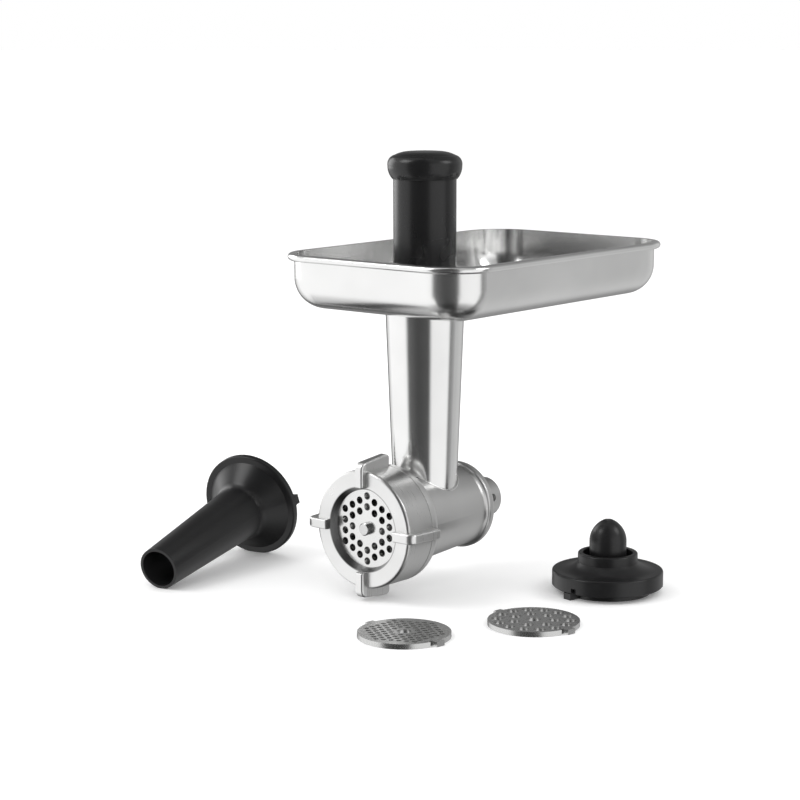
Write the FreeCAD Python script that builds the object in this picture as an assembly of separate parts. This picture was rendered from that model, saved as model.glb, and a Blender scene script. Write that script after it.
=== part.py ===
import FreeCAD, Part
import math
import os
from FreeCAD import Vector

# Stand-mixer meat grinder: barrel, feed tube, tray, pusher, auger, knife, plates, ring nut,
# and its loose stuffer tube, kubbe set and two spare plates. Millimetres, +Z up.
# The origin is the centre of the rear shoulder, on the barrel's axis. The barrel lies along Y:
# the hub boss points to +Y, the ring nut faces -Y.

# Standard sizes the rest is built around
PLATE_R = 27.0            # a number 5 grinding plate is 54 mm across
PLATE_T = 3.0
HUB_R = 12.7              # the boss that fits a one-inch mixer socket
HUB_LEN = 26.6
SHANK_SQUARE = 8.0        # across the flats of the drive shank
SHANK_OUT = 7.5           # how far the shank stands out of the boss
FLOOR_Z = -43.95          # the table under the grinder and its loose pieces

# Running gaps
SLIP = 0.02               # between pieces that stay together
RUN = 0.05                # between a turning shaft and its hole

# Barrel, from the shoulder forwards
FLANGE_R = 27.6
FLANGE_T = 6.4
FLANGE_ROOT = 3.2         # how far its curved root runs along the barrel
BARREL_REAR_R = 25.3
BARREL_FRONT_R = 28.2
HEAD_REAR_Y = -66.5
HEAD_R = 36.4
HEAD_FRONT_Y = -74.5
SPIGOT_R = 34.0
BORE_REAR_Y = -8.0
BORE_REAR_R = 22.3
BORE_FRONT_Y = -83.0
BORE_FRONT_R = 25.2
PLATE_SEAT_Y = -89.7
PLATE_PROUD = 0.8         # the plate stands this far out of its seat, so that the nut grips it
LOCK_HOLE_R = 2.5
LOCK_HOLE_DEPTH = 3.0
LOCK_HOLE_Y = 17.6
LOCK_HOLE_TILT = 9.0      # degrees above the horizontal, on the +X side

# Bush and seal in the barrel's rear wall
BUSH_R = 9.0
BUSH_FRONT_Y = 2.0
SEAL_R = 10.5
SEAL_REAR_Y = -3.5
JOURNAL_R = 6.0

# Feed tube, standing on the barrel
TUBE_Y = -37.0
TUBE_LOW_Z = 25.6
TUBE_LOW_R = 20.3
TUBE_TOP_Z = 128.4
TUBE_TOP_R = 24.3
TUBE_WALL = 1.4
TUBE_SPIGOT_R = 18.5
TUBE_SPIGOT_LOW_Z = 14.0

# Tray
TRAY_HALF_W = 75.1
TRAY_FRONT_Y = -97.1
TRAY_BACK_Y = 132.4
TRAY_LOW_Z = 128.6
TRAY_TOP_Z = 162.6
TRAY_CORNER_R = 29.5
TRAY_BEAD_R = 2.1
TRAY_INSET = 4.0          # from the bead's outside to the wall's outside
TRAY_SHEET = 1.0
TRAY_HEEL_R = 19.0        # where the wall turns into the floor
COLLAR_HOLE_R = 22.3
COLLAR_LOW_Z = 110.0

# Pusher
PUSHER_R = 19.3
PUSHER_LOW_Z = 103.0
PUSHER_NECK_Z = 208.1
PUSHER_WALL = 2.4
PUSHER_LEAD = 14.0        # the tapered lower end
PUSHER_LEAD_R = 18.3
CAP_R = 22.8
CAP_TOP_Z = 224.7

# Auger and knife
AUGER_REAR_Y = -10.2
AUGER_FRONT_Y = -84.6
AUGER_PITCH = 21.0
AUGER_CORE_R = 9.5
FLIGHT_ROOT = 5.2         # flight thickness at the core and at the rim
FLIGHT_TIP = 3.0
FLIGHT_START = 200.0      # degrees about the axis
SHAFT_ROOT = 28.0         # how deep the shaft and the stud sit in the auger
STUD_ROOT = 16.0
STUD_ROOT_R = 4.0
PIN_R = 1.5
PIN_BACK = 5.0            # the cross pin, from the auger's rear face
STUD_R = 3.9
STUD_SQUARE = 9.0
STUD_END_Y = -96.2
KNIFE_R = 24.2
KNIFE_T = 4.9

# Ring nut
NUT_R = 36.3
NUT_REAR_Y = -74.8
NUT_FRONT_Y = -97.2
NUT_MOUTH_R = 25.9        # the mouth narrows to NUT_LIP_R where it grips the plate
NUT_LIP_R = 23.9
NUT_BORE_R = 34.45
GRIP_W = 6.2
GRIP_PROUD = 4.0          # in front of the nut's face
GRIP_FRONT_R = 41.8
GRIP_REAR_R = 43.7
GRIP_BEND_R = 5.0
GRIP_END_R = 2.4

# Keys that stop a plate from turning
EAR_R = 29.3              # on a plate
LONG_EAR_R = 34.0         # on the stuffer and the kubbe cone
EAR_W = 6.0
EAR_ROOM = 0.25

# Medium plate
MEDIUM_PITCH = 6.73
MEDIUM_HOLE_R = 2.3

# Loose pieces on the table: where they lie
FINE_PLATE_AT = (68.9, -141.4)
COARSE_PLATE_AT = (112.0, -75.1)
KUBBE_AT = (102.5, 15.4)
STUFFER_AT = (-135.6, -49.6)
STUFFER_HEADING = -79.3   # degrees from +X, the way its mouth points
EAR_HEADING = -6.0        # degrees, the line through a loose plate's ears

# Shared flange of the stuffer and the kubbe cone
FLANGED_R = 34.2
KEY_T = 4.0               # the keyed step that sits where a plate would
STUFFER_LEN = 114.5
STUFFER_RIM_T = 4.6
STUFFER_FUNNEL = 16.0     # from the flange's back to the tube's root
STUFFER_MOUTH_R = 13.3
STUFFER_ROOT_R = 17.5
STUFFER_WALL = 1.8
STUFFER_ROLL = 99.0       # degrees, how its ears are turned about its axis
KUBBE_RIM_TOP = 14.0
KUBBE_NECK_LOW = 18.8
KUBBE_H = 24.8
KUBBE_NECK_R = 18.4
KUBBE_MOUTH_R = 15.4
KUBBE_NOSE_R = 11.4
KUBBE_NOSE_SHOULDER = 30.5
KUBBE_NOSE_TOP = 45.0
KUBBE_TURN = -102.0       # degrees, the way its ear points

PARTS = {}


def outline(steps, place):
    """Close an outline of (radius, height) steps. A step of two points is an arc through the
    first one to the second."""
    edges = []
    last = steps[0]
    for step in steps[1:] + [steps[0]]:
        if isinstance(step[0], tuple):
            edges.append(Part.Arc(place(*last), place(*step[0]), place(*step[1])).toShape())
            last = step[1]
        else:
            edges.append(Part.makeLine(place(*last), place(*step)))
            last = step
    return Part.Face(Part.Wire(edges))


def turned_y(steps):
    """Turn an outline of (radius, y) about the barrel's axis."""
    face = outline(steps, lambda r, y: Vector(r, y, 0))
    return face.revolve(Vector(0, 0, 0), Vector(0, 1, 0), 360)


def turned_z(steps, x=0.0, y=0.0):
    """Turn an outline of (radius, z) about an upright axis at x, y."""
    face = outline(steps, lambda r, z: Vector(x + r, y, z))
    return face.revolve(Vector(x, y, 0), Vector(0, 0, 1), 360)


def rod_y(radius, y0, y1):
    return Part.makeCylinder(radius, y1 - y0, Vector(0, y0, 0), Vector(0, 1, 0))


def square_bar_y(side, y0, y1):
    return Part.makeBox(side, y1 - y0, side, Vector(-side / 2, y0, -side / 2))


def hoops(shape, y, radius):
    """The circular edges of a turned piece at one y and radius."""
    found = []
    for edge in shape.Edges:
        curve = edge.Curve
        if isinstance(curve, Part.Circle) and abs(curve.Center.y - y) < 0.01:
            if abs(curve.Radius - radius) < 0.01:
                found.append(edge)
    return found


def barrel_core(grow):
    """The tapered body as a solid, grown outwards, to trim the tube's foot."""
    return turned_y([(0, HEAD_REAR_Y), (BARREL_FRONT_R + grow, HEAD_REAR_Y),
                     (BARREL_REAR_R + grow, -FLANGE_T), (0, -FLANGE_T)])


def ear_bars(radius, width, y0, y1):
    """A pair of opposite keys along X, for a plate whose axis is Y."""
    return Part.makeBox(2 * radius, y1 - y0, width, Vector(-radius, y0, -width / 2))


def make_barrel():
    rim_y = PLATE_SEAT_Y - PLATE_T + PLATE_PROUD
    slope = (BARREL_FRONT_R - BARREL_REAR_R) / (-FLANGE_T - HEAD_REAR_Y)
    flange_root = (BARREL_REAR_R + slope * FLANGE_ROOT, -FLANGE_T - FLANGE_ROOT)
    body = turned_y([
        (BUSH_R + SLIP, HUB_LEN), (HUB_R, HUB_LEN), (HUB_R, 0), (FLANGE_R, 0),
        (FLANGE_R, 1.8 - FLANGE_T),
        ((FLANGE_R - 0.25, 0.65 - FLANGE_T), (FLANGE_R - 1.0, -0.2 - FLANGE_T)),
        ((FLANGE_R - 1.8, -1.5 - FLANGE_T), flange_root),
        (BARREL_FRONT_R, HEAD_REAR_Y), (HEAD_R, HEAD_REAR_Y), (HEAD_R, HEAD_FRONT_Y),
        (SPIGOT_R, HEAD_FRONT_Y), (SPIGOT_R, rim_y), (PLATE_R + RUN, rim_y),
        (PLATE_R + RUN, PLATE_SEAT_Y), (BORE_FRONT_R, PLATE_SEAT_Y),
        (BORE_FRONT_R, BORE_FRONT_Y), (BORE_REAR_R, BORE_REAR_Y), (SEAL_R + SLIP, BORE_REAR_Y),
        (SEAL_R + SLIP, SEAL_REAR_Y), (JOURNAL_R + 1.0, SEAL_REAR_Y),
        (JOURNAL_R + 1.0, BUSH_FRONT_Y), (BUSH_R + SLIP, BUSH_FRONT_Y)])
    body = body.makeFillet(5.0, hoops(body, HEAD_REAR_Y, HEAD_R))
    body = body.makeFillet(3.0, hoops(body, HEAD_REAR_Y, BARREL_FRONT_R))
    body = body.makeFillet(0.3, hoops(body, HEAD_FRONT_Y, HEAD_R))
    body = body.makeFillet(2.6, hoops(body, 0, FLANGE_R))
    body = body.makeChamfer(1.0, hoops(body, HUB_LEN, HUB_R))
    body = body.makeChamfer(1.0, hoops(body, rim_y, SPIGOT_R))
    throat = Part.makeCylinder(TUBE_SPIGOT_R + SLIP, 40, Vector(0, TUBE_Y, 0), Vector(0, 0, 1))
    keyway = ear_bars(SPIGOT_R + 1, EAR_W + 2 * EAR_ROOM, rim_y - 1, PLATE_SEAT_Y)
    tilt = math.radians(LOCK_HOLE_TILT)
    out = Vector(math.cos(tilt), 0, math.sin(tilt))
    start = out * (HUB_R - LOCK_HOLE_DEPTH) + Vector(0, LOCK_HOLE_Y, 0)
    lock = Part.makeCylinder(LOCK_HOLE_R, LOCK_HOLE_DEPTH + 1, start, out)
    return body.cut(throat).cut(keyway).cut(lock)


def make_feed_tube():
    slope = (TUBE_TOP_R - TUBE_LOW_R) / (TUBE_TOP_Z - TUBE_LOW_Z)
    foot_z = TUBE_SPIGOT_LOW_Z
    foot_r = TUBE_LOW_R - slope * (TUBE_LOW_Z - foot_z)
    cone = turned_z([(0, foot_z), (foot_r, foot_z), (TUBE_TOP_R, TUBE_TOP_Z), (0, TUBE_TOP_Z)],
                    0, TUBE_Y)
    cone = cone.cut(barrel_core(SLIP))
    spigot = Part.makeCylinder(TUBE_SPIGOT_R, TUBE_LOW_Z - foot_z, Vector(0, TUBE_Y, foot_z))
    spigot = spigot.cut(rod_y(BORE_FRONT_R, HEAD_REAR_Y, 0))
    tube = cone.fuse(spigot)
    bore_r = TUBE_SPIGOT_R - TUBE_WALL
    step_z = TUBE_LOW_Z + 4
    bore = turned_z([(0, 0), (bore_r, 0), (bore_r, step_z - 1.5),
                     (TUBE_LOW_R + slope * 4 - TUBE_WALL, step_z),
                     (TUBE_TOP_R - TUBE_WALL, TUBE_TOP_Z), (0, TUBE_TOP_Z)], 0, TUBE_Y)
    return tube.cut(bore).removeSplitter()


def make_hub_bush():
    return turned_y([(JOURNAL_R + RUN, BUSH_FRONT_Y), (BUSH_R, BUSH_FRONT_Y),
                     (BUSH_R, HUB_LEN - 0.5), (JOURNAL_R + RUN, HUB_LEN - 0.5)])


def make_shaft_seal():
    """A ring with a thin lip around the journal, held in the rear wall."""
    mid_y = (SEAL_REAR_Y + BORE_REAR_Y) / 2
    return turned_y([(JOURNAL_R + RUN, SEAL_REAR_Y), (SEAL_R, SEAL_REAR_Y),
                     (SEAL_R, BORE_REAR_Y + 0.3), (SEAL_R - 1.6, BORE_REAR_Y + 0.3),
                     (SEAL_R - 1.6, mid_y), (JOURNAL_R + 1.2, mid_y),
                     (JOURNAL_R + RUN, BORE_REAR_Y + 0.3)])


def rounded_slab(inset, z0, z1):
    """A prism with the tray's plan, inset from the bead's outside."""
    x0 = -TRAY_HALF_W + inset
    y0 = TRAY_FRONT_Y + inset
    wide = 2 * (TRAY_HALF_W - inset)
    long = TRAY_BACK_Y - TRAY_FRONT_Y - 2 * inset
    slab = Part.makeBox(wide, long, z1 - z0, Vector(x0, y0, z0))
    upright = [e for e in slab.Edges if abs(e.Vertexes[0].Z - e.Vertexes[-1].Z) > 0.1]
    return slab.makeFillet(TRAY_CORNER_R - inset, upright)


def dished_slab(inset, z0, z1, heel_r):
    """The same prism with a rounded lower edge."""
    slab = rounded_slab(inset, z0, z1)
    low = [e for e in slab.Edges if all(abs(v.Z - z0) < 0.01 for v in e.Vertexes)]
    return slab.makeFillet(heel_r, low)


def bead_ring():
    """The rolled rim: a round rod bent along the tray's edge."""
    mid_z = TRAY_TOP_Z - TRAY_BEAD_R
    slab = rounded_slab(TRAY_BEAD_R, mid_z, mid_z + 1)
    face = [f for f in slab.Faces if abs(f.CenterOfMass.z - mid_z) < 0.01][0]
    rods = [edge_rod(edge) for edge in face.OuterWire.Edges]
    return rods[0].fuse(rods[1:]).removeSplitter()


def edge_rod(edge):
    """A round rod along one straight or circular edge of the rim."""
    first = edge.valueAt(edge.FirstParameter)
    along = edge.tangentAt(edge.FirstParameter)
    disc = Part.Face(Part.Wire(Part.makeCircle(TRAY_BEAD_R, first, along)))
    if isinstance(edge.Curve, Part.Line):
        return disc.extrude(edge.valueAt(edge.LastParameter) - first)
    centre = edge.Curve.Center
    turn = math.degrees(edge.LastParameter - edge.FirstParameter)
    return disc.revolve(centre, edge.Curve.Axis, turn)


def make_tray_pan():
    pan = dished_slab(TRAY_INSET, TRAY_LOW_Z, TRAY_TOP_Z, TRAY_HEEL_R)
    lip_z = TRAY_TOP_Z - TRAY_SHEET
    lip = rounded_slab(TRAY_BEAD_R, lip_z, TRAY_TOP_Z)
    hollow = dished_slab(TRAY_INSET + TRAY_SHEET, TRAY_LOW_Z + TRAY_SHEET, TRAY_TOP_Z + 1,
                         TRAY_HEEL_R - TRAY_SHEET)
    pan = pan.fuse(lip).fuse(bead_ring()).cut(hollow)
    hole = Part.makeCylinder(COLLAR_HOLE_R + SLIP, 20, Vector(0, TUBE_Y, TRAY_LOW_Z - 10))
    return pan.cut(hole).removeSplitter()


def make_tray_collar():
    """The neck welded into the tray's hole: it centres the tray in the tube's mouth."""
    floor_z = TRAY_LOW_Z + TRAY_SHEET + SLIP
    low_r = COLLAR_HOLE_R - 0.7
    return turned_z([
        (low_r - 1.0, COLLAR_LOW_Z), (low_r, COLLAR_LOW_Z), (COLLAR_HOLE_R, TRAY_LOW_Z),
        (COLLAR_HOLE_R, floor_z), (COLLAR_HOLE_R + 4.0, floor_z),
        (COLLAR_HOLE_R + 4.0, floor_z + 0.8), (COLLAR_HOLE_R + 1.0, floor_z + 0.8),
        (COLLAR_HOLE_R + 0.2, floor_z + 2.6), ((COLLAR_HOLE_R - 0.5, floor_z + 3.2),
        (COLLAR_HOLE_R - 1.2, floor_z + 2.6))], 0, TUBE_Y)


def make_pusher_barrel():
    lead_z = PUSHER_LOW_Z + PUSHER_LEAD
    top_z = PUSHER_NECK_Z + 4
    inner_r = PUSHER_R - PUSHER_WALL
    return turned_z([
        (0, PUSHER_LOW_Z), (PUSHER_LEAD_R - 1.5, PUSHER_LOW_Z),
        ((PUSHER_LEAD_R - 0.44, PUSHER_LOW_Z + 0.44), (PUSHER_LEAD_R, PUSHER_LOW_Z + 1.5)),
        (PUSHER_R, lead_z), (PUSHER_R, PUSHER_NECK_Z), (inner_r + 1.0, PUSHER_NECK_Z),
        (inner_r + 1.0, top_z), (inner_r, top_z),
        (inner_r, lead_z), (0, lead_z - PUSHER_LEAD + PUSHER_WALL)], 0, TUBE_Y)


def make_pusher_cap():
    """The mushroom grip, pressed over the rim of the hollow pusher."""
    neck_r = PUSHER_R - PUSHER_WALL + 1.0 + SLIP
    low_z = PUSHER_NECK_Z + SLIP
    bulge_z = low_z + 8.0
    shoulder_z = CAP_TOP_Z - 2.2
    return turned_z([
        (neck_r, low_z), (PUSHER_R + 0.6, low_z),
        ((CAP_R - 0.9, low_z + 3.2), (CAP_R, bulge_z)),
        ((CAP_R - 1.2, shoulder_z - 1.9), (CAP_R - 4.2, shoulder_z)),
        ((CAP_R - 8.6, CAP_TOP_Z - 0.55), (CAP_R - 13.8, CAP_TOP_Z)), (0, CAP_TOP_Z),
        (0, CAP_TOP_Z - 3.5), (neck_r - 3.0, CAP_TOP_Z - 5.5), (neck_r - 3.0, low_z + 5.0),
        (neck_r, low_z + 5.0)], 0, TUBE_Y)


def flight_envelope():
    """The space the flight may fill: the bore less a gap all round."""
    slope = (BORE_FRONT_R - BORE_REAR_R) / (BORE_FRONT_Y - BORE_REAR_Y)
    rear_r = BORE_REAR_R - 0.5 + slope * (AUGER_REAR_Y - BORE_REAR_Y)
    front_r = BORE_FRONT_R - 0.5
    return turned_y([(0, AUGER_REAR_Y), (rear_r, AUGER_REAR_Y), (front_r, AUGER_FRONT_Y),
                     (0, AUGER_FRONT_Y)])


def make_auger_screw():
    """A worm: one long flight is swept past both ends, joined to the core, then trimmed."""
    length = AUGER_REAR_Y - AUGER_FRONT_Y + AUGER_PITCH
    helix = Part.makeHelix(AUGER_PITCH, length, AUGER_CORE_R)
    inner_r = AUGER_CORE_R - 1.5
    outer_r = BORE_FRONT_R + 1
    profile = Part.makePolygon([
        Vector(inner_r, 0, -FLIGHT_ROOT / 2), Vector(outer_r, 0, -FLIGHT_TIP / 2),
        Vector(outer_r, 0, FLIGHT_TIP / 2), Vector(inner_r, 0, FLIGHT_ROOT / 2),
        Vector(inner_r, 0, -FLIGHT_ROOT / 2)])
    flight = Part.Wire(helix.Edges).makePipeShell([profile], True, True)
    flight.rotate(Vector(0, 0, 0), Vector(1, 0, 0), -90)
    flight.translate(Vector(0, AUGER_FRONT_Y - AUGER_PITCH / 2, 0))
    flight.rotate(Vector(0, 0, 0), Vector(0, 1, 0), FLIGHT_START)
    core = rod_y(AUGER_CORE_R, AUGER_FRONT_Y - AUGER_PITCH, AUGER_REAR_Y + AUGER_PITCH)
    screw = core.fuse(flight).common(flight_envelope())
    screw = screw.cut(rod_y(JOURNAL_R - 1, AUGER_REAR_Y - SHAFT_ROOT, AUGER_REAR_Y))
    screw = screw.cut(rod_y(STUD_ROOT_R + SLIP, AUGER_FRONT_Y, AUGER_FRONT_Y + STUD_ROOT))
    return screw.cut(pin_hole())


def pin_hole():
    return Part.makeCylinder(PIN_R, 60, Vector(0, AUGER_REAR_Y - PIN_BACK, -30))


def make_drive_shaft():
    """The turned shaft in the auger's rear, with the square shank the mixer drives."""
    end_y = HUB_LEN + SHANK_OUT
    journal = rod_y(JOURNAL_R, AUGER_REAR_Y + SLIP, HUB_LEN + 1)
    root = rod_y(JOURNAL_R - 1 - SLIP, AUGER_REAR_Y - SHAFT_ROOT + SLIP, AUGER_REAR_Y + 1)
    shank = square_bar_y(SHANK_SQUARE, HUB_LEN, end_y)
    nose = turned_y([(0, HUB_LEN), (JOURNAL_R, HUB_LEN), (JOURNAL_R, end_y - 3),
                     (JOURNAL_R - 2, end_y), (0, end_y)])
    shaft = journal.fuse(root).fuse(shank.common(nose))
    return shaft.removeSplitter().cut(pin_hole())


def make_shaft_pin():
    length = 2 * AUGER_CORE_R - 1
    return Part.makeCylinder(PIN_R - SLIP, length, Vector(0, AUGER_REAR_Y - PIN_BACK, -length / 2))


def make_thrust_washer():
    return turned_y([(JOURNAL_R + RUN, AUGER_REAR_Y + RUN), (SEAL_R + 1.5, AUGER_REAR_Y + RUN),
                     (SEAL_R + 1.5, BORE_REAR_Y - RUN), (JOURNAL_R + RUN, BORE_REAR_Y - RUN)])


def make_knife_stud():
    """Pressed into the auger's nose: a square for the knife, a pivot for the plate."""
    root = rod_y(STUD_ROOT_R, AUGER_FRONT_Y - SLIP, AUGER_FRONT_Y + STUD_ROOT - SLIP)
    square = square_bar_y(STUD_SQUARE, PLATE_SEAT_Y + 0.2, AUGER_FRONT_Y - SLIP)
    square = square.common(rod_y(STUD_SQUARE * 0.62, PLATE_SEAT_Y, AUGER_FRONT_Y))
    pivot = turned_y([(0, AUGER_FRONT_Y), (STUD_R, AUGER_FRONT_Y), (STUD_R, STUD_END_Y + 0.6),
                      (STUD_R - 0.6, STUD_END_Y), (0, STUD_END_Y)])
    return root.fuse(square).fuse(pivot).removeSplitter()


def make_cross_knife():
    """Four blades with flat cutting faces towards the plate and sloping backs."""
    front_y = PLATE_SEAT_Y + 0.1
    hub = rod_y(10.0, front_y, front_y + KNIFE_T - 0.1)
    wide = 7.0
    back = 3.2
    blade = outline([(-wide / 2, front_y), (wide / 2, front_y), (wide / 2, front_y + 1.2),
                     (back / 2, front_y + KNIFE_T - 0.1), (-back / 2, front_y + KNIFE_T - 0.1),
                     (-wide / 2, front_y + 1.2)],
                    lambda across, y: Vector(0, y, across)).extrude(Vector(KNIFE_R + 2, 0, 0))
    knife = hub
    for turn in range(4):
        arm = blade.copy()
        arm.rotate(Vector(0, 0, 0), Vector(0, 1, 0), 90 * turn)
        knife = knife.fuse(arm)
    knife = knife.common(rod_y(KNIFE_R, front_y, front_y + KNIFE_T))
    return knife.cut(square_bar_y(STUD_SQUARE + 0.1, front_y - 1, front_y + 8)).removeSplitter()


def hexagon_holes(pitch, rings):
    """Hole centres on the rings of a hexagonal grid, with two corners on the second axis."""
    centres = []
    for across in range(-8, 9):
        for up in range(-8, 9):
            ring = max(abs(across), abs(up), abs(across + up))
            if ring in rings:
                centres.append((across * pitch * math.sqrt(3) / 2, (up + across / 2) * pitch))
    return centres


def circle_holes(circles):
    """Hole centres on circles of (radius, count)."""
    centres = []
    for radius, count in circles:
        for step in range(count):
            angle = 2 * math.pi * step / count
            centres.append((radius * math.sin(angle), radius * math.cos(angle)))
    return centres


def flat_plate(centres, hole_r, pivot_r):
    """A grinding plate lying on z = 0, with two ears on the X axis and a lift notch."""
    disc = Part.makeCylinder(PLATE_R, PLATE_T)
    ears = Part.makeBox(2 * EAR_R, EAR_W, PLATE_T, Vector(-EAR_R, -EAR_W / 2, 0))
    notch = Part.makeBox(3, 2.4, PLATE_T, Vector(PLATE_R - 2.0, -EAR_W / 2 - 2.4, 0))
    drills = [Part.makeCylinder(hole_r, PLATE_T, Vector(x, y, 0)) for x, y in centres]
    drills.append(Part.makeCylinder(pivot_r, PLATE_T))
    plate = disc.fuse(ears).cut(notch).removeSplitter()
    plate = plate.cut(drills)
    return plate


def make_medium_plate():
    plate = flat_plate(hexagon_holes(MEDIUM_PITCH, (2, 3)), MEDIUM_HOLE_R, STUD_R + 0.07)
    plate.rotate(Vector(0, 0, 0), Vector(1, 0, 0), 90)
    plate.translate(Vector(0, PLATE_SEAT_Y, 0))
    return plate


def on_table(shape, at, heading):
    shape.rotate(Vector(0, 0, 0), Vector(0, 0, 1), heading)
    shape.translate(Vector(at[0], at[1], FLOOR_Z))
    return shape


def make_fine_plate():
    centres = hexagon_holes(4.5, (2, 3, 4, 5))
    centres = [c for c in centres if math.hypot(*c) < PLATE_R - 3.6]
    return on_table(flat_plate(centres, 1.5, STUD_R + 0.07), FINE_PLATE_AT, EAR_HEADING)


def make_coarse_plate():
    centres = circle_holes([(21.2, 14), (12.2, 7)])
    return on_table(flat_plate(centres, 3.4, STUD_R + 0.07), COARSE_PLATE_AT, EAR_HEADING)


def grip_bar():
    """One L-shaped grip at twelve o'clock: a foot over the face, a bar along the side."""
    front_y = NUT_FRONT_Y - GRIP_PROUD
    corner = GRIP_BEND_R * (1 - math.sqrt(0.5))
    end = GRIP_END_R * (1 - math.sqrt(0.5))
    side = outline([
        (NUT_MOUTH_R + 0.3, front_y + 0.5), (NUT_MOUTH_R + 0.8, front_y),
        (GRIP_FRONT_R - GRIP_BEND_R, front_y),
        ((GRIP_FRONT_R - corner, front_y + corner), (GRIP_FRONT_R, front_y + GRIP_BEND_R)),
        (GRIP_REAR_R, NUT_REAR_Y - GRIP_END_R),
        ((GRIP_REAR_R - end, NUT_REAR_Y - end), (GRIP_REAR_R - GRIP_END_R, NUT_REAR_Y)),
        (NUT_R - 1.0, NUT_REAR_Y),
        (NUT_R - 1.0, NUT_FRONT_Y + 1.0), (NUT_MOUTH_R + 0.3, NUT_FRONT_Y + 1.0)],
        lambda r, y: Vector(-GRIP_W / 2, y, r))
    bar = side.extrude(Vector(GRIP_W, 0, 0))
    long_edges = []
    for edge in bar.Edges:
        flat = all(abs(abs(v.X) - GRIP_W / 2) < 0.01 for v in edge.Vertexes)
        same_side = abs(edge.Vertexes[0].X - edge.Vertexes[-1].X) < 0.01
        spot = edge.CenterOfMass
        outside = spot.z > NUT_R + 2 or spot.y < front_y + 0.6
        if flat and same_side and outside and abs(spot.y - NUT_REAR_Y) > 0.1:
            long_edges.append(edge)
    return bar.makeFillet(1.3, long_edges)


def make_ring_nut():
    lip_y = PLATE_SEAT_Y - PLATE_T - RUN
    nut = turned_y([(NUT_MOUTH_R, NUT_FRONT_Y), (NUT_R, NUT_FRONT_Y), (NUT_R, NUT_REAR_Y),
                    (NUT_BORE_R, NUT_REAR_Y), (NUT_BORE_R, lip_y), (NUT_LIP_R, lip_y)])
    nut = nut.makeFillet(1.9, hoops(nut, NUT_FRONT_Y, NUT_R))
    for turn in range(4):
        bar = grip_bar()
        bar.rotate(Vector(0, 0, 0), Vector(0, 1, 0), 90 * turn)
        nut = nut.fuse(bar)
    return nut.removeSplitter()


def key_step(top, inner_r):
    """The plate-sized step under a flange, with the two ears that stop it turning."""
    step = Part.makeCylinder(PLATE_R - 0.2, top, Vector(0, 0, 0))
    ears = Part.makeBox(2 * LONG_EAR_R, EAR_W, top, Vector(-LONG_EAR_R, -EAR_W / 2, 0))
    step = step.fuse(ears).removeSplitter()
    return step.cut(Part.makeCylinder(inner_r, top))


def rim_notch(low, high):
    """A slot in the flange's edge beside an ear."""
    return Part.makeBox(4, 3.8, high - low, Vector(FLANGED_R - 2.5, EAR_W / 2 + 0.4, low))


def make_stuffer_tube():
    """Flange, shallow funnel and long tapered tube, lying on its flange and its mouth."""
    inner_r = PLATE_R - 3.0
    rim_top = KEY_T + STUFFER_RIM_T
    root_z = KEY_T + STUFFER_FUNNEL
    tube = turned_z([
        (inner_r, KEY_T), (FLANGED_R - 0.6, KEY_T),
        ((FLANGED_R - 0.18, KEY_T + 0.18), (FLANGED_R, KEY_T + 0.6)), (FLANGED_R, rim_top - 1.0),
        ((FLANGED_R - 0.3, rim_top - 0.3), (FLANGED_R - 1.0, rim_top)),
        (FLANGED_R - 4.4, rim_top), (STUFFER_ROOT_R + 2.6, root_z - 1.6),
        ((STUFFER_ROOT_R + 1.0, root_z + 0.5), (STUFFER_ROOT_R + 0.15, root_z + 3.0)),
        (STUFFER_MOUTH_R, STUFFER_LEN), (STUFFER_MOUTH_R - STUFFER_WALL, STUFFER_LEN),
        (STUFFER_ROOT_R - STUFFER_WALL, root_z - 0.5), (inner_r, KEY_T + 4.0)])
    tube = tube.fuse(key_step(KEY_T, inner_r)).removeSplitter()
    lean = math.atan2(FLANGED_R - STUFFER_MOUTH_R, STUFFER_LEN - KEY_T)
    tube.translate(Vector(0, 0, -KEY_T))
    tube.rotate(Vector(0, 0, 0), Vector(0, 0, 1), STUFFER_ROLL)
    tube.rotate(Vector(0, 0, 0), Vector(0, 1, 0), 90 + math.degrees(lean))
    tube.rotate(Vector(0, 0, 0), Vector(0, 0, 1), STUFFER_HEADING)
    tube.translate(Vector(STUFFER_AT[0], STUFFER_AT[1], 0))
    rim_low = -FLANGED_R * math.cos(lean)
    tube.translate(Vector(0, 0, FLOOR_Z - rim_low))
    return tube


def make_kubbe_cone():
    """A domed cap with a short neck, standing on the keyed step it is clamped by."""
    throat_r = PLATE_R - 2.6
    cone = turned_z([
        (throat_r, KEY_T), (FLANGED_R - 0.6, KEY_T), (FLANGED_R, KEY_T + 0.6),
        (FLANGED_R, KUBBE_RIM_TOP - 1.2),
        ((FLANGED_R - 0.35, KUBBE_RIM_TOP - 0.35), (FLANGED_R - 1.2, KUBBE_RIM_TOP)),
        (FLANGED_R - 4.9, KUBBE_RIM_TOP), ((23.0, 15.5), (KUBBE_NECK_R, KUBBE_NECK_LOW)),
        (KUBBE_NECK_R, KUBBE_H - 1.2),
        ((KUBBE_NECK_R - 0.35, KUBBE_H - 0.35), (KUBBE_NECK_R - 1.2, KUBBE_H)),
        (KUBBE_MOUTH_R + 0.4, KUBBE_H), (KUBBE_MOUTH_R, KUBBE_H - 0.4),
        (KUBBE_MOUTH_R, KUBBE_NECK_LOW - 2.0), ((19.6, 12.2), (throat_r, 9.0))])
    cone = cone.fuse(key_step(KEY_T, throat_r)).cut(rim_notch(KEY_T, KEY_T + 3.6))
    return on_table(cone.removeSplitter(), KUBBE_AT, KUBBE_TURN)


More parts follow.
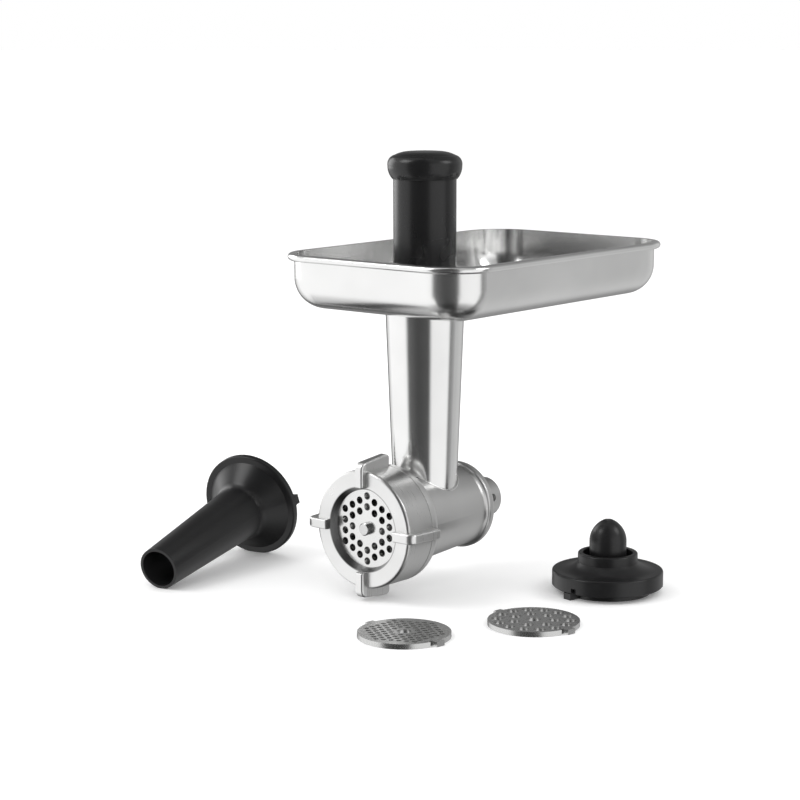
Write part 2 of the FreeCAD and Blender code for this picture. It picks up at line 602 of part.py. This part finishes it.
def make_kubbe_former():
    """The egg-shaped core: its spider sits inside the cone, its bore fits the stud."""
    spider_r = PLATE_R - 3.1
    core = turned_z([
        (0, 0), (KUBBE_NOSE_R - 1.5, 0), (KUBBE_NOSE_R, 3.5),
        (KUBBE_NOSE_R, KUBBE_NOSE_SHOULDER), ((8.6, 40.2), (2.6, KUBBE_NOSE_TOP)),
        (0, KUBBE_NOSE_TOP)])
    ring = turned_z([(spider_r - 2.9, 0), (spider_r, 0), (spider_r, 4.0), (spider_r - 2.9, 4.0)])
    for turn in range(3):
        arm = Part.makeBox(spider_r - 1, 3.6, 3.4, Vector(0, -1.8, 0))
        arm.rotate(Vector(0, 0, 0), Vector(0, 0, 1), 120 * turn)
        core = core.fuse(arm)
    core = core.fuse(ring).cut(Part.makeCylinder(STUD_R + 0.1, 13.0)).removeSplitter()
    return on_table(core, KUBBE_AT, KUBBE_TURN)


def save(node, shape):
    solids = shape.Solids
    assert len(solids) == 1 and shape.isValid(), (node, len(solids), shape.isValid())
    solids[0].exportStep("parts/" + node + ".step")
    PARTS[node] = solids[0]


os.makedirs("parts", exist_ok=True)
save("barrel", make_barrel())
save("feed_tube", make_feed_tube())
save("hub_bush", make_hub_bush())
save("shaft_seal", make_shaft_seal())
save("tray_pan", make_tray_pan())
save("tray_collar", make_tray_collar())
save("pusher_barrel", make_pusher_barrel())
save("pusher_cap", make_pusher_cap())
save("auger_screw", make_auger_screw())
save("drive_shaft", make_drive_shaft())
save("shaft_pin", make_shaft_pin())
save("thrust_washer", make_thrust_washer())
save("knife_stud", make_knife_stud())
save("cross_knife", make_cross_knife())
save("medium_plate", make_medium_plate())
save("ring_nut", make_ring_nut())
save("fine_plate", make_fine_plate())
save("coarse_plate", make_coarse_plate())
save("stuffer_tube", make_stuffer_tube())
save("kubbe_cone", make_kubbe_cone())
save("kubbe_former", make_kubbe_former())
for node, solid in PARTS.items():
    print(node, round(solid.Volume / 1000, 2), "cm3", len(solid.Faces), "faces")
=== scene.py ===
import math

import bpy
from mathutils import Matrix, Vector


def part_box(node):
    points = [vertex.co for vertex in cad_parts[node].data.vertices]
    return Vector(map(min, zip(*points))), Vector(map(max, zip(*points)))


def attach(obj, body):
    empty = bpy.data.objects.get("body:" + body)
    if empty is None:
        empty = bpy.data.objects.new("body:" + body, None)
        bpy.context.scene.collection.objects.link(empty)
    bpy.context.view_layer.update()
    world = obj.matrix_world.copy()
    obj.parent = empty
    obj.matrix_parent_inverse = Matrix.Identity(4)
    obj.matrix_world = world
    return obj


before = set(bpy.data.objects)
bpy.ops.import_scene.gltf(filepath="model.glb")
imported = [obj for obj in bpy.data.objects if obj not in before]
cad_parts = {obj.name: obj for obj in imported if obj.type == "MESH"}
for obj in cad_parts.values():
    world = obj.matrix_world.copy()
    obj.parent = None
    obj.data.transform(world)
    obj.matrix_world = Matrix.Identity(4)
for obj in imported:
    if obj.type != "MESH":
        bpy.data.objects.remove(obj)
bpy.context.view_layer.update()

# ---------------------------------------------------------------------------------------------
# Studio: a pale table under the grinder, a camera in front and to its right, three soft lamps
# and a wrapped softbox wall that gives the polished pieces their light and dark bands.
# ---------------------------------------------------------------------------------------------
CAMERA_AZIMUTH = math.radians(38.83)      # from the front, towards +X
CAMERA_RISE = math.radians(10.1)
CAMERA_DISTANCE = 1.325
CAMERA_TARGET = Vector((0.0, -0.037, 0.0639))
FOCAL_LENGTHS = 2.6714                    # focal length in widths of the sensor
SENSOR_MM = 36.0
SHIFT = (-0.0311, 0.0151)
TABLE_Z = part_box("fine_plate")[0][2]
TABLE_GAP = 0.0001                        # keeps the paper clear of what lies on it
TABLE_RADIUS = 40.0

back = Vector((math.sin(CAMERA_AZIMUTH) * math.cos(CAMERA_RISE),
               -math.cos(CAMERA_AZIMUTH) * math.cos(CAMERA_RISE), math.sin(CAMERA_RISE)))
camera_data = bpy.data.cameras.new("studio_camera")
camera_data.sensor_width = SENSOR_MM
camera_data.lens = FOCAL_LENGTHS * SENSOR_MM
camera_data.shift_x, camera_data.shift_y = SHIFT
camera_data.clip_end = 120.0
camera = bpy.data.objects.new("studio_camera", camera_data)
bpy.context.scene.collection.objects.link(camera)
camera.location = CAMERA_TARGET + back * CAMERA_DISTANCE
camera.rotation_euler = back.to_track_quat("Z", "Y").to_euler()
bpy.context.scene.camera = camera
bpy.context.scene.view_settings.view_transform = "Standard"

bpy.ops.object.select_all(action="DESELECT")
bpy.ops.mesh.primitive_circle_add(vertices=96, radius=TABLE_RADIUS, fill_type="NGON",
                                  location=(0, 0, TABLE_Z - TABLE_GAP))
table = bpy.context.object
table.name = "studio_table"
table.visible_glossy = False

# The paper glows a little, so that its far edge doesn't show against the room.
paper = bpy.data.materials.new("table_paper")
paper.use_nodes = True
paper_shader = paper.node_tree.nodes["Principled BSDF"]
paper_shader.inputs["Base Color"].default_value = (0.97, 0.97, 0.97, 1)
paper_shader.inputs["Roughness"].default_value = 0.9
paper_shader.inputs["Emission Color"].default_value = (1, 1, 1, 1)
paper_shader.inputs["Emission Strength"].default_value = 0.10
table.data.materials.append(paper)

# What a glossy surface sees round the room: (degrees from the camera's side, brightness)
ROOM_BANDS = ((-180, 0.24), (-168, 0.22), (-157, 0.08), (-149, 0.70), (-125, 1.12), (-62, 1.12),
              (-50, 0.13), (-20, 0.07), (12, 0.09), (22, 1.0), (76, 1.05), (84, 0.25), (93, 0.30),
              (99, 0.52), (140, 0.62), (165, 0.30), (180, 0.24))
ROOM_HEIGHTS = ((-90, 0.08), (-72, 0.11), (-55, 0.42), (-38, 1.0), (14, 1.0), (34, 0.5),
                (60, 0.5), (90, 0.8))
world = bpy.data.worlds.new("studio_room")
bpy.context.scene.world = world
world.use_nodes = True
tree = world.node_tree
tree.nodes.clear()
link = tree.links.new


def world_node(kind, **values):
    """Add a node to the room."""
    node = tree.nodes.new(kind)
    for key, value in values.items():
        setattr(node, key, value)
    return node


def band_ramp(fac, stops, low, high):
    """A ramp from low to high degrees through (degrees, brightness) stops."""
    scale = world_node("ShaderNodeMapRange")
    scale.inputs["From Min"].default_value = math.radians(low)
    scale.inputs["From Max"].default_value = math.radians(high)
    link(fac, scale.inputs["Value"])
    ramp = world_node("ShaderNodeValToRGB")
    ramp.color_ramp.interpolation = "EASE"
    for index, (degrees, level) in enumerate(stops):
        place = (degrees - low) / (high - low)
        if index < 2:
            stop = ramp.color_ramp.elements[index]
            stop.position = place
        else:
            stop = ramp.color_ramp.elements.new(place)
        stop.color = (level, level, level, 1)
    link(scale.outputs["Result"], ramp.inputs["Fac"])
    return ramp.outputs["Color"]


ray = world_node("ShaderNodeTexCoord").outputs["Generated"]
sides = []
for direction in ((math.cos(CAMERA_AZIMUTH), math.sin(CAMERA_AZIMUTH), 0),
                  (math.sin(CAMERA_AZIMUTH), -math.cos(CAMERA_AZIMUTH), 0), (0, 0, 1)):
    dot = world_node("ShaderNodeVectorMath", operation="DOT_PRODUCT")
    dot.inputs[1].default_value = direction
    link(ray, dot.inputs[0])
    sides.append(dot.outputs["Value"])
turn = world_node("ShaderNodeMath", operation="ARCTAN2")
link(sides[0], turn.inputs[0])
link(sides[1], turn.inputs[1])
rise = world_node("ShaderNodeMath", operation="ARCSINE")
link(sides[2], rise.inputs[0])
bands = band_ramp(turn.outputs[0], ROOM_BANDS, -180, 180)
heights = band_ramp(rise.outputs[0], ROOM_HEIGHTS, -90, 90)
room = world_node("ShaderNodeVectorMath", operation="MULTIPLY")
link(bands, room.inputs[0])
link(heights, room.inputs[1])
path = world_node("ShaderNodeLightPath")
pick = world_node("ShaderNodeMix", data_type="RGBA")
pick.inputs["A"].default_value = (1.0, 1.0, 1.0, 1)
link(path.outputs["Is Glossy Ray"], pick.inputs["Factor"])
link(room.outputs["Vector"], pick.inputs["B"])
glow = world_node("ShaderNodeBackground")
seen = world_node("ShaderNodeMix", data_type="RGBA")
seen.inputs["B"].default_value = (1.0, 1.0, 1.0, 1)
link(path.outputs["Is Camera Ray"], seen.inputs["Factor"])
link(pick.outputs["Result"], seen.inputs["A"])
link(seen.outputs["Result"], glow.inputs["Color"])
out = world_node("ShaderNodeOutputWorld")
link(glow.outputs["Background"], out.inputs["Surface"])


def soft_lamp(name, at, size, power):
    """A square lamp facing the grinder."""
    data = bpy.data.lights.new(name, "AREA")
    data.shape = "SQUARE"
    data.size = size
    data.energy = power
    lamp = bpy.data.objects.new(name, data)
    bpy.context.scene.collection.objects.link(lamp)
    lamp.location = at
    lamp.rotation_euler = (Vector(at) - CAMERA_TARGET).to_track_quat("Z", "Y").to_euler()
    lamp.visible_camera = False
    return lamp


soft_lamp("key_lamp", (-0.9, -1.1, 1.5), 0.9, 10.0)
soft_lamp("side_lamp", (-1.35, 0.05, 0.45), 0.9, 4.0)
soft_lamp("rim_lamp", (1.2, 0.6, 1.1), 0.7, 5.0)


# ---------------------------------------------------------------------------------------------
# Barrel: cast stainless body, bead blasted all over, with its head and shoulder skimmed on a lathe.
# ---------------------------------------------------------------------------------------------
def new_material(name):
    """A material with its node tree and shader."""
    material = bpy.data.materials.new(name)
    material.use_nodes = True
    return material, material.node_tree, material.node_tree.nodes["Principled BSDF"]


def add_node(tree, kind, **values):
    """Add a node to a material."""
    node = tree.nodes.new(kind)
    for key, value in values.items():
        setattr(node, key, value)
    return node


def stretched_noise(tree, scale, detail=3.0, rough=0.55):
    """Noise on object coordinates, squeezed by a different scale along each axis."""
    coords = add_node(tree, "ShaderNodeTexCoord")
    mapping = add_node(tree, "ShaderNodeMapping")
    mapping.inputs["Scale"].default_value = scale
    noise = add_node(tree, "ShaderNodeTexNoise")
    noise.inputs["Scale"].default_value = 1.0
    noise.inputs["Detail"].default_value = detail
    noise.inputs["Roughness"].default_value = rough
    tree.links.new(coords.outputs["Object"], mapping.inputs["Vector"])
    tree.links.new(mapping.outputs["Vector"], noise.inputs["Vector"])
    return noise.outputs["Fac"]


def spread(tree, value, low, high, start=0.3, end=0.7):
    """Map a noise value on to a range."""
    node = add_node(tree, "ShaderNodeMapRange")
    node.inputs["From Min"].default_value = start
    node.inputs["From Max"].default_value = end
    node.inputs["To Min"].default_value = low
    node.inputs["To Max"].default_value = high
    tree.links.new(value, node.inputs["Value"])
    return node.outputs["Result"]


def metal(name, tone, rough, grain, grain_bump, cloud=18.0, anisotropic=0.0):
    """Worked metal: grain scratches, faint clouds of tone and of polish."""
    material, tree, shader = new_material(name)
    shader.inputs["Metallic"].default_value = 1.0
    shader.inputs["Anisotropic"].default_value = anisotropic
    scratches = stretched_noise(tree, grain, 4.0, 0.6)
    clouds = stretched_noise(tree, (cloud, cloud, cloud), 3.0)
    ramp = add_node(tree, "ShaderNodeValToRGB")
    ramp.color_ramp.elements[0].position = 0.3
    ramp.color_ramp.elements[1].position = 0.7
    ramp.color_ramp.elements[0].color = tuple(t * 0.94 for t in tone) + (1,)
    ramp.color_ramp.elements[1].color = tuple(t * 1.04 for t in tone) + (1,)
    tree.links.new(clouds, ramp.inputs["Fac"])
    tree.links.new(ramp.outputs["Color"], shader.inputs["Base Color"])
    mixed = add_node(tree, "ShaderNodeMath", operation="MULTIPLY_ADD")
    mixed.inputs[1].default_value = 0.5
    tree.links.new(scratches, mixed.inputs[0])
    half = add_node(tree, "ShaderNodeMath", operation="MULTIPLY")
    half.inputs[1].default_value = 0.5
    tree.links.new(clouds, half.inputs[0])
    tree.links.new(half.outputs[0], mixed.inputs[2])
    roughness = spread(tree, mixed.outputs[0], rough * 0.82, rough * 1.2)
    tree.links.new(roughness, shader.inputs["Roughness"])
    bump = add_node(tree, "ShaderNodeBump")
    bump.inputs["Strength"].default_value = grain_bump
    bump.inputs["Distance"].default_value = 0.0002
    tree.links.new(scratches, bump.inputs["Height"])
    tree.links.new(bump.outputs["Normal"], shader.inputs["Normal"])
    return material


def dress(node, material):
    """Give a frame node its material in every slot."""
    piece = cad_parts[node]
    if not piece.data.materials:
        piece.data.materials.append(material)
    for slot in piece.material_slots:
        slot.material = material


satin_casting = metal("satin_casting_skimmed", (0.62, 0.62, 0.615), 0.34, (60, 2600, 60), 0.12)
dress("barrel", satin_casting)

# ---------------------------------------------------------------------------------------------
# Hub bush and shaft seal: a sintered bronze sleeve and a black lip ring inside the boss.
# ---------------------------------------------------------------------------------------------
bronze = metal("sintered_bronze", (0.55, 0.40, 0.22), 0.5, (900, 900, 900), 0.3)
dress("hub_bush", bronze)


def moulded(name, tone, rough, texture, depth):
    """Moulded plastic or rubber with a fine pebbled skin."""
    material, tree, shader = new_material(name)
    shader.inputs["Specular IOR Level"].default_value = 0.4
    skin = stretched_noise(tree, (texture, texture, texture), 3.0, 0.6)
    clouds = stretched_noise(tree, (25, 25, 25), 2.0)
    ramp = add_node(tree, "ShaderNodeValToRGB")
    ramp.color_ramp.elements[0].position = 0.25
    ramp.color_ramp.elements[1].position = 0.75
    ramp.color_ramp.elements[0].color = tuple(t * 0.85 for t in tone) + (1,)
    ramp.color_ramp.elements[1].color = tuple(t * 1.15 for t in tone) + (1,)
    tree.links.new(clouds, ramp.inputs["Fac"])
    tree.links.new(ramp.outputs["Color"], shader.inputs["Base Color"])
    tree.links.new(spread(tree, clouds, rough * 0.9, rough * 1.12), shader.inputs["Roughness"])
    bump = add_node(tree, "ShaderNodeBump")
    bump.inputs["Strength"].default_value = depth
    bump.inputs["Distance"].default_value = 0.0001
    tree.links.new(skin, bump.inputs["Height"])
    tree.links.new(bump.outputs["Normal"], shader.inputs["Normal"])
    return material


dress("shaft_seal", moulded("seal_rubber", (0.02, 0.02, 0.02), 0.6, 3000, 0.2))

# ---------------------------------------------------------------------------------------------
# Feed tube: drawn stainless, tapered and polished bright, with a faint grain along its height.
# ---------------------------------------------------------------------------------------------
bright_tube = metal("polished_tube_steel", (0.84, 0.84, 0.835), 0.16, (1500, 1500, 30), 0.03)
dress("feed_tube", bright_tube)

# ---------------------------------------------------------------------------------------------
# Weld: a thin polished bead where the tube's foot meets the barrel, following its saddle shape.
# ---------------------------------------------------------------------------------------------
TUBE_AXIS_Y = (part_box("feed_tube")[0][1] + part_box("feed_tube")[1][1]) / 2
FOOT_RADIUS = 0.0203
BEAD_RADIUS = 0.00055
ABOVE_BARREL = 0.04
bpy.ops.object.select_all(action="DESELECT")
bpy.ops.mesh.primitive_circle_add(vertices=160, radius=FOOT_RADIUS + BEAD_RADIUS * 0.3,
                                  location=(0, TUBE_AXIS_Y, ABOVE_BARREL))
weld = bpy.context.object
weld.name = "tube_weld"
drop = weld.modifiers.new("drop", "SHRINKWRAP")
drop.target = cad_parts["barrel"]
drop.wrap_method = "PROJECT"
drop.use_project_z = True
drop.use_negative_direction = True
drop.use_positive_direction = False
bpy.ops.object.modifier_apply(modifier="drop")
bpy.ops.object.convert(target="CURVE")
weld.data.bevel_depth = BEAD_RADIUS
weld.data.bevel_resolution = 3
bpy.ops.object.convert(target="MESH")
bpy.ops.object.transform_apply(location=True, rotation=True, scale=True)
bpy.ops.object.shade_smooth()
weld.data.materials.clear()
weld.data.materials.append(bright_tube)
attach(weld, "housing")

# ---------------------------------------------------------------------------------------------
# Barrel thread: the rounded screw ridge on the barrel's spigot that the ring nut runs on.
# ---------------------------------------------------------------------------------------------
THREAD_PITCH = 0.004
THREAD_ROOT = 0.0339
THREAD_RISE = 0.00045
THREAD_TURNS = 3.4
THREAD_REAR_Y = -0.0762
STEPS_PER_TURN = 72
bpy.ops.object.select_all(action="DESELECT")
bpy.ops.mesh.primitive_circle_add(vertices=14, radius=THREAD_RISE,
                                  location=(THREAD_ROOT, THREAD_REAR_Y, 0))
thread = bpy.context.object
thread.name = "barrel_thread"
bpy.ops.object.transform_apply(location=True, rotation=True, scale=True)
wind = thread.modifiers.new("wind", "SCREW")
wind.axis = "Y"
wind.angle = math.radians(360 * THREAD_TURNS)
wind.screw_offset = -THREAD_PITCH * THREAD_TURNS
wind.steps = int(STEPS_PER_TURN * THREAD_TURNS)
wind.render_steps = wind.steps
bpy.ops.object.modifier_apply(modifier="wind")
bpy.ops.object.mode_set(mode="EDIT")
bpy.ops.mesh.select_all(action="SELECT")
bpy.ops.mesh.remove_doubles(threshold=1e-6)
bpy.ops.mesh.select_non_manifold()
bpy.ops.mesh.edge_face_add()
bpy.ops.mesh.select_all(action="SELECT")
bpy.ops.mesh.normals_make_consistent(inside=False)
bpy.ops.object.mode_set(mode="OBJECT")
bpy.ops.object.shade_smooth_by_angle(angle=math.radians(50))
thread.data.materials.append(satin_casting)
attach(thread, "housing")

# ---------------------------------------------------------------------------------------------
# Tray: pressed stainless pan with a rolled rim, brushed along its length, and a welded neck.
# ---------------------------------------------------------------------------------------------
bright_pan = metal("brushed_pan_steel", (0.86, 0.86, 0.855), 0.21, (900, 24, 900), 0.03)
dress("tray_pan", bright_pan)
dress("tray_collar", bright_tube)

# ---------------------------------------------------------------------------------------------
# Pusher: black moulded barrel with a mushroom cap pressed over it.
# ---------------------------------------------------------------------------------------------
black_plastic = moulded("black_moulding", (0.010, 0.010, 0.0105), 0.27, 900, 0.02)
dress("pusher_barrel", black_plastic)
dress("pusher_cap", black_plastic)

# ---------------------------------------------------------------------------------------------
# Auger, shaft, washer and pin: a cast worm with a ground shaft.
# ---------------------------------------------------------------------------------------------
ground_steel = metal("ground_steel", (0.66, 0.66, 0.66), 0.25, (1200, 1200, 1200), 0.08)
dress("auger_screw", satin_casting)
for part in ("drive_shaft", "shaft_pin", "knife_stud", "cross_knife"):
    dress(part, ground_steel)
dress("thrust_washer", moulded("washer_nylon", (0.8, 0.79, 0.75), 0.5, 1500, 0.1))

# ---------------------------------------------------------------------------------------------
# Plates: surface-ground discs. The one in use sits behind the nut; two spares lie on the table.
# ---------------------------------------------------------------------------------------------
plate_steel = metal("ground_plate_steel", (0.77, 0.77, 0.765), 0.22, (40, 1400, 1400), 0.05)
dress("medium_plate", plate_steel)
spare_steel = metal("spare_plate_steel", (0.62, 0.62, 0.615), 0.26, (1400, 40, 1400), 0.08)
dress("fine_plate", spare_steel)
dress("coarse_plate", spare_steel)

# ---------------------------------------------------------------------------------------------
# Ring nut: cast ring with four grips, its front face skimmed flat, with a painted highlight on that
# face and painted shade inside the mouth.
# ---------------------------------------------------------------------------------------------
NUT_FACE_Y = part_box("ring_nut")[0][1] + 0.004
MOUTH_RADIUS = 0.0263
nut_painted_light, tree, shader = new_material("satin_nut_painted_highlight_and_shade")
shader.inputs["Metallic"].default_value = 1.0
coords = add_node(tree, "ShaderNodeTexCoord")
place = add_node(tree, "ShaderNodeSeparateXYZ")
tree.links.new(coords.outputs["Object"], place.inputs["Vector"])
# Painted highlight: the flat front face gets a near-white base colour in place of the bright
# reflection it catches.
face_highlight_mask = add_node(tree, "ShaderNodeMapRange")
face_highlight_mask.inputs["From Min"].default_value = NUT_FACE_Y + 0.0003
face_highlight_mask.inputs["From Max"].default_value = NUT_FACE_Y + 0.0001
tree.links.new(place.outputs["Y"], face_highlight_mask.inputs["Value"])
flat = add_node(tree, "ShaderNodeVectorMath", operation="MULTIPLY")
flat.inputs[1].default_value = (1, 0, 1)
tree.links.new(coords.outputs["Object"], flat.inputs[0])
reach = add_node(tree, "ShaderNodeVectorMath", operation="LENGTH")
tree.links.new(flat.outputs["Vector"], reach.inputs[0])
# Painted shade: inside the mouth, in front of the plate, the base colour drops to dark grey where
# the recess lies in shade.
mouth_shade_mask = add_node(tree, "ShaderNodeMapRange")
mouth_shade_mask.inputs["From Min"].default_value = MOUTH_RADIUS + 0.0004
mouth_shade_mask.inputs["From Max"].default_value = MOUTH_RADIUS - 0.0004
tree.links.new(reach.outputs["Value"], mouth_shade_mask.inputs["Value"])
clouds = stretched_noise(tree, (22, 22, 22), 3.0)
ramp = add_node(tree, "ShaderNodeValToRGB")
ramp.color_ramp.elements[0].position = 0.3
ramp.color_ramp.elements[1].position = 0.7
ramp.color_ramp.elements[0].color = (0.58, 0.58, 0.575, 1)
ramp.color_ramp.elements[1].color = (0.65, 0.65, 0.645, 1)
tree.links.new(clouds, ramp.inputs["Fac"])
# Painted highlight colour for the front face.
painted_face_highlight = add_node(tree, "ShaderNodeMix", data_type="RGBA")
painted_face_highlight.inputs["B"].default_value = (0.80, 0.80, 0.795, 1)
tree.links.new(face_highlight_mask.outputs["Result"], painted_face_highlight.inputs["Factor"])
tree.links.new(ramp.outputs["Color"], painted_face_highlight.inputs["A"])
# Painted shade colour for the mouth's inner wall.
mouth_painted_shade = add_node(tree, "ShaderNodeMix", data_type="RGBA")
mouth_painted_shade.inputs["B"].default_value = (0.20, 0.20, 0.20, 1)
tree.links.new(mouth_shade_mask.outputs["Result"], mouth_painted_shade.inputs["Factor"])
tree.links.new(painted_face_highlight.outputs["Result"], mouth_painted_shade.inputs["A"])
tree.links.new(mouth_painted_shade.outputs["Result"], shader.inputs["Base Color"])
lathe = stretched_noise(tree, (60, 2200, 60), 4.0, 0.6)
tree.links.new(spread(tree, lathe, 0.26, 0.38), shader.inputs["Roughness"])
bump = add_node(tree, "ShaderNodeBump")
bump.inputs["Strength"].default_value = 0.10
bump.inputs["Distance"].default_value = 0.0002
tree.links.new(lathe, bump.inputs["Height"])
tree.links.new(bump.outputs["Normal"], shader.inputs["Normal"])
dress("ring_nut", nut_painted_light)

# ---------------------------------------------------------------------------------------------
# Stuffer tube and kubbe set: black mouldings lying loose on the table.
# ---------------------------------------------------------------------------------------------
dull_black = moulded("black_moulding_dull", (0.011, 0.011, 0.0115), 0.33, 1800, 0.08)
for part in ("stuffer_tube", "kubbe_cone", "kubbe_former"):
    dress(part, dull_black)
